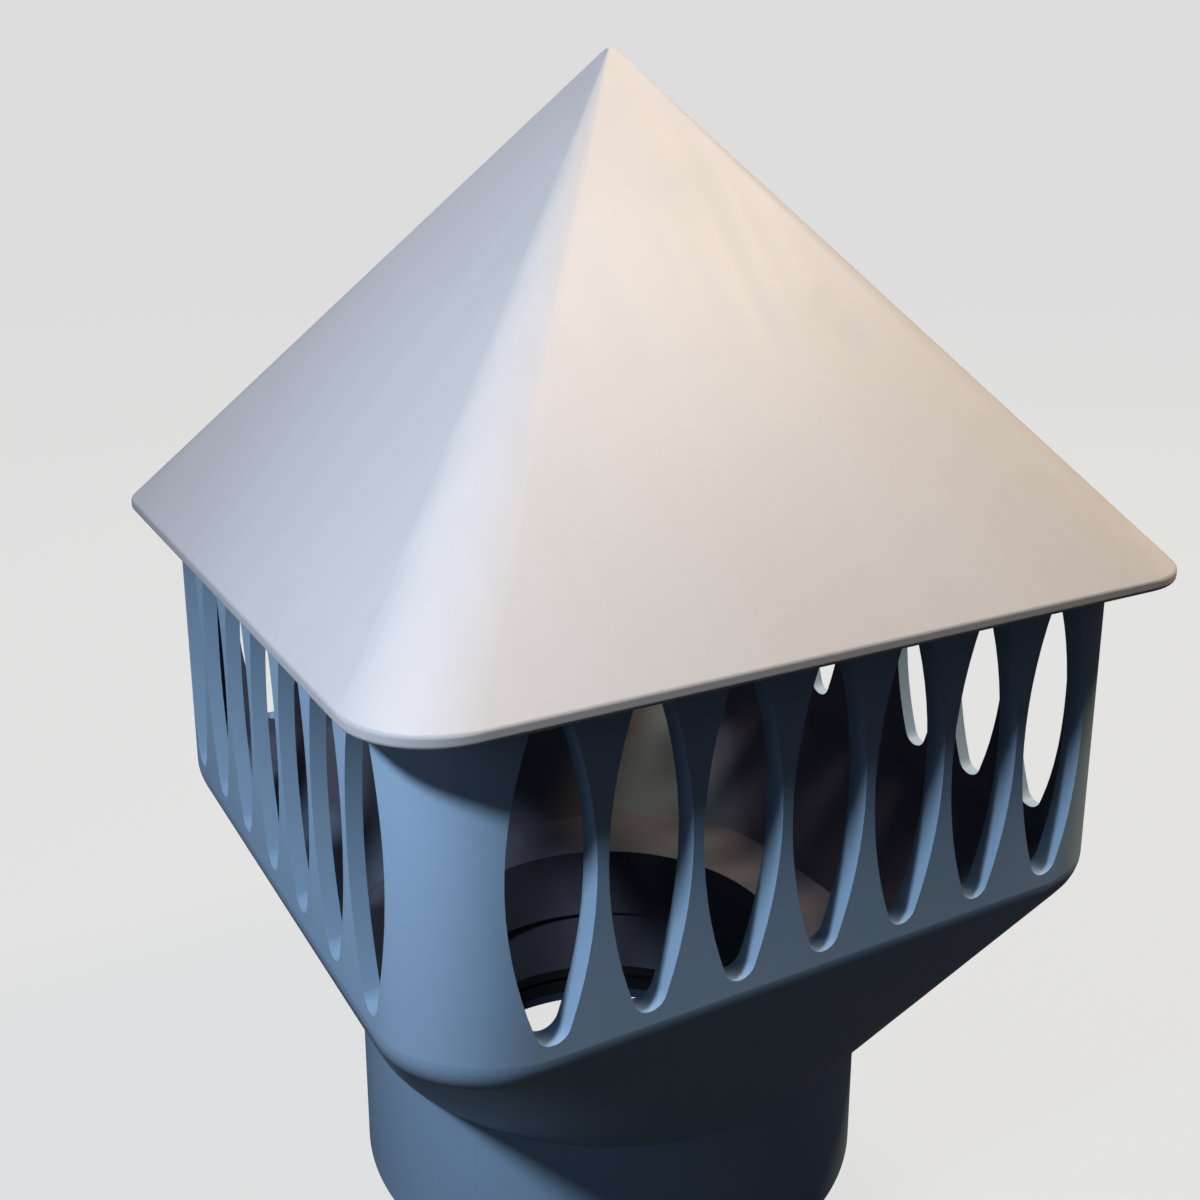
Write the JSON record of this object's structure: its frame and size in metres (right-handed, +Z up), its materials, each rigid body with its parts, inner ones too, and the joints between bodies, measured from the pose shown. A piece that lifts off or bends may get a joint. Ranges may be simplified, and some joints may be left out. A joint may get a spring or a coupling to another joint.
{
  "type": "vent pipe rain cap",
  "caption": "Square pyramid rain hood on a slotted cage with rounded corners, whose funnel narrows to a round collar that slips over a vent pipe.",
  "frame": {"origin": "centre of the open mouth, level with the collar's lower rim", "axes": "+Z up along the pipe towards the hood's point; +X and +Y square to the hood's sides"},
  "size_m": [0.18, 0.18, 0.2556],
  "materials": {
    "hood_plastic": "smooth satin moulded plastic, warm off-white",
    "peg_nylon": "natural nylon",
    "grommet_rubber": "black moulded rubber",
    "cage_plastic": "smooth satin moulded plastic, slate blue",
    "collar_plastic": "smooth satin plastic, slate blue",
    "seal_rubber": "black moulded rubber",
    "retainer_plastic": "moulded plastic, dark slate blue",
    "screw_steel": "plain stainless steel"
  },
  "bodies": {
    "cage_body": {"slotted_cage": "cage_plastic", "peg_grommets": "grommet_rubber", "pipe_collar": "collar_plastic", "lip_seal": "seal_rubber", "seal_retainer": "retainer_plastic", "grub_screws": "screw_steel"},
    "hood": {"roof_hood": "hood_plastic", "hood_pegs": "peg_nylon"}
  },
  "joints": [
    {"name": "hood_lift", "type": "slide", "parent": "cage_body", "child": "hood", "axis": [0, 0, 1], "range_m": [0, 0.08]}
  ]
}
